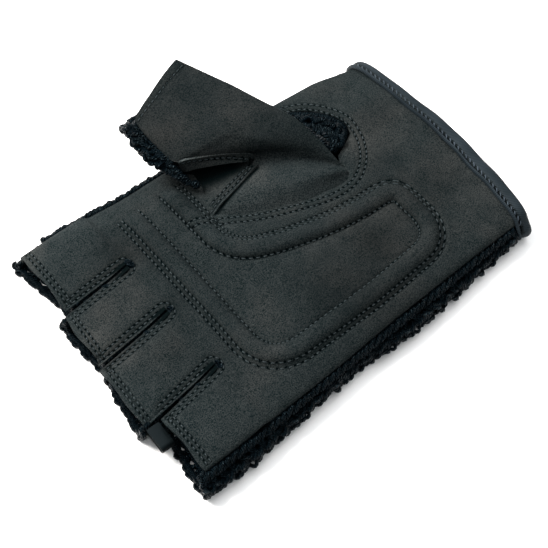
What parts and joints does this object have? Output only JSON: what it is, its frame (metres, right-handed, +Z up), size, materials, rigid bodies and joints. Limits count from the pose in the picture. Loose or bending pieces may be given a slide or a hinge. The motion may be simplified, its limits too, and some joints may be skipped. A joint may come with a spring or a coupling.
{
  "type": "cycling glove",
  "caption": "Half-finger cycling glove with a padded suede palm, crocheted back, bound wrist and open thumb and finger ends, lying palm up",
  "frame": {"origin": "Centre of the underside of the glove's bounding box, on the surface that the crocheted back lies on", "axes": "+X from the finger ends to the wrist, +Y from the little finger to the thumb, +Z up out of the palm"},
  "size_m": [0.1582, 0.1278, 0.0344],
  "materials": {
    "suede": "matte suede",
    "yarn": "crocheted cotton yarn",
    "satin": "satin tape"
  },
  "bodies": {
    "root": {"palm_panel": "suede", "crochet_back": "yarn", "thumb_panel": "suede", "thumb_crochet": "yarn", "crotch_patch": "suede", "cuff_binding": "satin", "finger_tab": "satin"}
  },
  "joints": []
}
